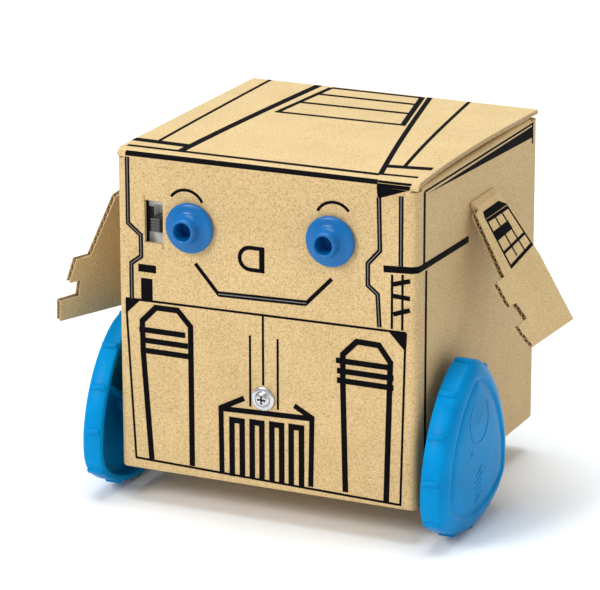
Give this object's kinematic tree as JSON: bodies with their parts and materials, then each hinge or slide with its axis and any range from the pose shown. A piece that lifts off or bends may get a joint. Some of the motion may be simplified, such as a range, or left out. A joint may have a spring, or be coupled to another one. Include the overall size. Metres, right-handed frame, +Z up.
{
  "type": "two wheel robot car",
  "caption": "Cardboard box robot car with a printed face, round eyes, fold-out arms and rounded-triangle wheels driven by geared motors.",
  "frame": {"origin": "middle of the footprint, on the surface that the wheels and the rear skid stand on", "axes": "+X to the right as one looks at the face, +Y from the face towards the back, +Z up"},
  "size_m": [0.1817, 0.1234, 0.1346],
  "materials": {
    "card": "uncoated kraft liner",
    "blue_plastic": "semi-gloss moulded",
    "plated_steel": "zinc plated",
    "motor_can": "drawn steel",
    "brass": "satin",
    "white_plastic": "satin",
    "circuit_board": "solder mask",
    "cell_wrap": "printed film",
    "black_plastic": "fine texture"
  },
  "bodies": {
    "base": {"carton": "card", "left_dust_flap": "card", "right_dust_flap": "card", "left_arm_tab": "card", "right_arm_tab": "card", "left_eye": "blue_plastic", "right_eye": "blue_plastic", "left_eye_clip": "blue_plastic", "right_eye_clip": "blue_plastic", "front_screw": "plated_steel", "front_nut": "plated_steel", "switch_body": "plated_steel", "switch_board": "circuit_board", "chassis_plate": "black_plastic", "chassis_screws": "plated_steel", "rear_skid": "black_plastic", "left_gearbox_frame": "white_plastic", "right_gearbox_frame": "white_plastic", "left_idler_pin": "plated_steel", "right_idler_pin": "plated_steel", "left_motor": "motor_can", "right_motor": "motor_can", "battery_box": "black_plastic", "battery_cells": "cell_wrap", "battery_contacts": "brass", "control_board": "circuit_board"},
    "lid": {"lid_flap": "card", "lid_tuck": "card"},
    "left_arm": {"left_arm": "card"},
    "right_arm": {"right_arm": "card"},
    "knob": {"switch_knob": "black_plastic"},
    "left_wheel": {"left_wheel": "blue_plastic", "left_axle": "plated_steel", "left_final_gear": "white_plastic"},
    "left_idler": {"left_idler_gear": "white_plastic"},
    "left_motor_shaft": {"left_motor_pinion": "brass"},
    "right_wheel": {"right_wheel": "blue_plastic", "right_axle": "plated_steel", "right_final_gear": "white_plastic"},
    "right_idler": {"right_idler_gear": "white_plastic"},
    "right_motor_shaft": {"right_motor_pinion": "brass"}
  },
  "joints": [
    {"name": "lid_hinge", "type": "hinge", "parent": "base", "child": "lid", "pos_m": [0, -0.0537, 0.13295], "axis": [1, 0, 0], "range_deg": [0, 100]},
    {"name": "right_arm_fold", "type": "hinge", "parent": "base", "child": "right_arm", "pos_m": [0.0599, 0.00545, 0.1148], "axis": [0, -1, 0], "range_deg": [-17, 60]},
    {"name": "left_arm_fold", "type": "hinge", "parent": "base", "child": "left_arm", "pos_m": [-0.06358, -0.0232, 0.1148], "axis": [0.342, 0.9397, 0], "range_deg": [-1, 75]},
    {"name": "switch_slide", "type": "slide", "parent": "base", "child": "knob", "axis": [0, 0, 1], "range_m": [0, 0.004]},
    {"name": "left_wheel_spin", "type": "hinge", "parent": "base", "child": "left_wheel", "pos_m": [-0.066, -0.0294, 0.03], "axis": [1, 0, 0], "continuous": true},
    {"name": "left_idler_spin", "type": "hinge", "parent": "base", "child": "left_idler", "pos_m": [-0.05, -0.015, 0.03], "axis": [1, 0, 0], "continuous": true},
    {"name": "left_motor_spin", "type": "hinge", "parent": "base", "child": "left_motor_shaft", "pos_m": [-0.045, -0.003, 0.03], "axis": [1, 0, 0], "continuous": true},
    {"name": "right_wheel_spin", "type": "hinge", "parent": "base", "child": "right_wheel", "pos_m": [0.066, -0.0294, 0.03], "axis": [1, 0, 0], "continuous": true},
    {"name": "right_idler_spin", "type": "hinge", "parent": "base", "child": "right_idler", "pos_m": [0.05, -0.015, 0.03], "axis": [1, 0, 0], "continuous": true},
    {"name": "right_motor_spin", "type": "hinge", "parent": "base", "child": "right_motor_shaft", "pos_m": [0.045, -0.003, 0.03], "axis": [1, 0, 0], "continuous": true}
  ],
  "couplings": [
    {"joint": "left_idler_spin", "follows": "left_wheel_spin", "ratio": -3},
    {"joint": "left_motor_spin", "follows": "left_wheel_spin", "ratio": 9},
    {"joint": "right_idler_spin", "follows": "right_wheel_spin", "ratio": -3},
    {"joint": "right_motor_spin", "follows": "right_wheel_spin", "ratio": 9}
  ]
}
